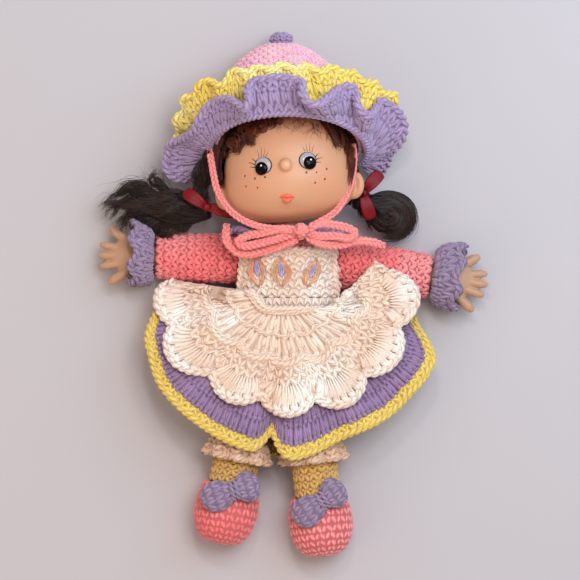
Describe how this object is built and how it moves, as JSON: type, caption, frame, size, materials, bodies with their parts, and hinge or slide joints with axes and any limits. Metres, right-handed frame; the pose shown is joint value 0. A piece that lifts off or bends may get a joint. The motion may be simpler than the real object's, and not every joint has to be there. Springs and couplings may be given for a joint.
{
  "type": "amigurumi doll",
  "caption": "Stuffed doll lying on its back, with a moulded head and hands, crocheted dress, frilled bonnet tied under the chin, scalloped apron and bowed shoes.",
  "frame": {"origin": "on the table under the doll's waist, on the flat of the bodice's back", "axes": "+Y from the feet towards the head, +X to the doll's own left, +Z out of the table through the face"},
  "size_m": [0.1756, 0.2352, 0.0736],
  "materials": {
    "vinyl": "soft skin-coloured vinyl, satin",
    "eye_plastic": "glossy dome",
    "hair": "dark brown synthetic doll hair",
    "pink_yarn": "crocheted coral pink yarn",
    "pale_pink_yarn": "crocheted pale pink yarn",
    "lilac_yarn": "crocheted lilac yarn",
    "yellow_yarn": "crocheted yellow yarn",
    "cream_yarn": "crocheted cream yarn",
    "satin_ribbon": "dark red satin ribbon",
    "stuffing": "polyester filling"
  },
  "bodies": {
    "torso": {"torso_stuffing": "stuffing", "bodice": "pink_yarn", "pantaloon_seat": "cream_yarn", "collar": "lilac_yarn", "apron_bib": "cream_yarn", "apron_waistband": "cream_yarn", "apron_skirt": "cream_yarn", "skirt": "lilac_yarn", "skirt_edging": "yellow_yarn", "bow_knot": "pale_pink_yarn", "bow_right_loop": "pale_pink_yarn", "bow_left_loop": "pale_pink_yarn", "bow_right_tail": "pale_pink_yarn", "bow_left_tail": "pale_pink_yarn"},
    "head": {"head_shell": "vinyl", "right_eye": "eye_plastic", "left_eye": "eye_plastic", "wig": "hair", "bonnet_crown": "pale_pink_yarn", "bonnet_button": "lilac_yarn", "bonnet_lilac_ruffle": "lilac_yarn", "bonnet_yellow_ruffle": "yellow_yarn", "right_chin_tie": "pale_pink_yarn", "left_chin_tie": "pale_pink_yarn", "right_ribbon": "satin_ribbon", "left_ribbon": "satin_ribbon"},
    "right_hair": {"right_pigtail": "hair"},
    "left_hair": {"left_pigtail": "hair"},
    "right_arm": {"right_sleeve": "pink_yarn", "right_cuff": "lilac_yarn", "right_arm_stuffing": "stuffing"},
    "left_arm": {"left_sleeve": "pink_yarn", "left_cuff": "lilac_yarn", "left_arm_stuffing": "stuffing"},
    "right_palm": {"right_hand": "vinyl"},
    "left_palm": {"left_hand": "vinyl"},
    "right_leg": {"right_leg_stuffing": "stuffing", "right_pantaloon_leg": "cream_yarn", "right_pantaloon_frill": "cream_yarn", "right_sock": "yellow_yarn", "right_shoe": "pink_yarn", "right_shoe_bow": "lilac_yarn"},
    "left_leg": {"left_leg_stuffing": "stuffing", "left_pantaloon_leg": "cream_yarn", "left_pantaloon_frill": "cream_yarn", "left_sock": "yellow_yarn", "left_shoe": "pink_yarn", "left_shoe_bow": "lilac_yarn"}
  },
  "joints": [
    {"name": "neck_turn", "type": "hinge", "parent": "torso", "child": "head", "pos_m": [0, 0.0215, 0.0146], "axis": [0, 1, 0], "range_deg": [-25, 25], "deforming": ["right_chin_tie", "left_chin_tie", "right_pigtail", "left_pigtail"]},
    {"name": "right_shoulder", "type": "hinge", "parent": "torso", "child": "right_arm", "pos_m": [-0.0269, 0.016, 0.0109], "axis": [0, 0, -1], "range_deg": [-2, 15], "deforming": ["right_pigtail"]},
    {"name": "left_shoulder", "type": "hinge", "parent": "torso", "child": "left_arm", "pos_m": [0.0269, 0.013, 0.0109], "axis": [0, 0, 1], "range_deg": [-2, 15], "deforming": ["left_pigtail"]},
    {"name": "right_wrist", "type": "hinge", "parent": "right_arm", "child": "right_palm", "pos_m": [-0.0269, 0.016, 0.0109], "axis": [-0.9997, 0.0262, 0], "range_deg": [-20, 20]},
    {"name": "left_wrist", "type": "hinge", "parent": "left_arm", "child": "left_palm", "pos_m": [0.0269, 0.013, 0.0109], "axis": [0.9903, -0.1392, 0], "range_deg": [-20, 20]},
    {"name": "right_hip", "type": "hinge", "parent": "torso", "child": "right_leg", "pos_m": [-0.0155, -0.0365, 0.0145], "axis": [0, 0, -1], "range_deg": [-3, 12]},
    {"name": "left_hip", "type": "hinge", "parent": "torso", "child": "left_leg", "pos_m": [0.0078, -0.041, 0.0145], "axis": [0, 0, 1], "range_deg": [-3, 12]},
    {"name": "right_pigtail_lift", "type": "hinge", "parent": "head", "child": "right_hair", "pos_m": [-0.03164, 0.03567, 0.0202], "axis": [0, 1, 0], "range_deg": [0, 35], "deforming": ["right_ribbon"]},
    {"name": "left_pigtail_lift", "type": "hinge", "parent": "head", "child": "left_hair", "pos_m": [0.03451, 0.04146, 0.0202], "axis": [0, -1, 0], "range_deg": [0, 35], "deforming": ["left_ribbon"]}
  ]
}
